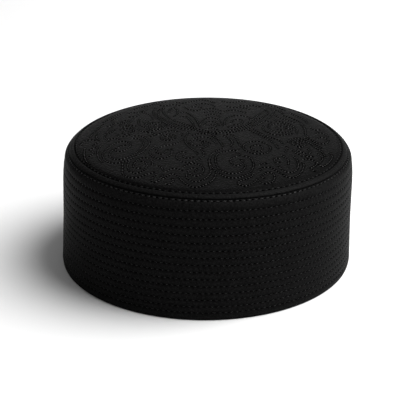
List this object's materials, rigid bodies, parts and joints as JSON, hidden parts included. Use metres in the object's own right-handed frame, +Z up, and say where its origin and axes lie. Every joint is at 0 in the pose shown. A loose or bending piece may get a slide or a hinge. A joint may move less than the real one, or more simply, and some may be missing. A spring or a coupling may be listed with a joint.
{
  "type": "prayer cap",
  "caption": "Round flat-topped prayer cap in black cloth, with a stitched crown panel, a rolled welt and a quilted side band, hollow and open below to sit on the head.",
  "frame": {"origin": "on the floor in the middle of the lower rim", "axes": "+Z up through the crown, -Y toward the side that the picture shows, +X to the wearer's left as seen from there"},
  "size_m": [0.1899, 0.1898, 0.0821],
  "materials": {
    "band_cloth": "matte black felted cloth, padded and quilted in level channels",
    "welt_cloth": "smooth black felted cloth rolled over a padded edge",
    "crown_cloth": "fine matte black felted cloth, stitched with scrolls in black thread"
  },
  "bodies": {
    "root": {"side_band": "band_cloth", "welt": "welt_cloth", "crown_panel": "crown_cloth"}
  },
  "joints": []
}
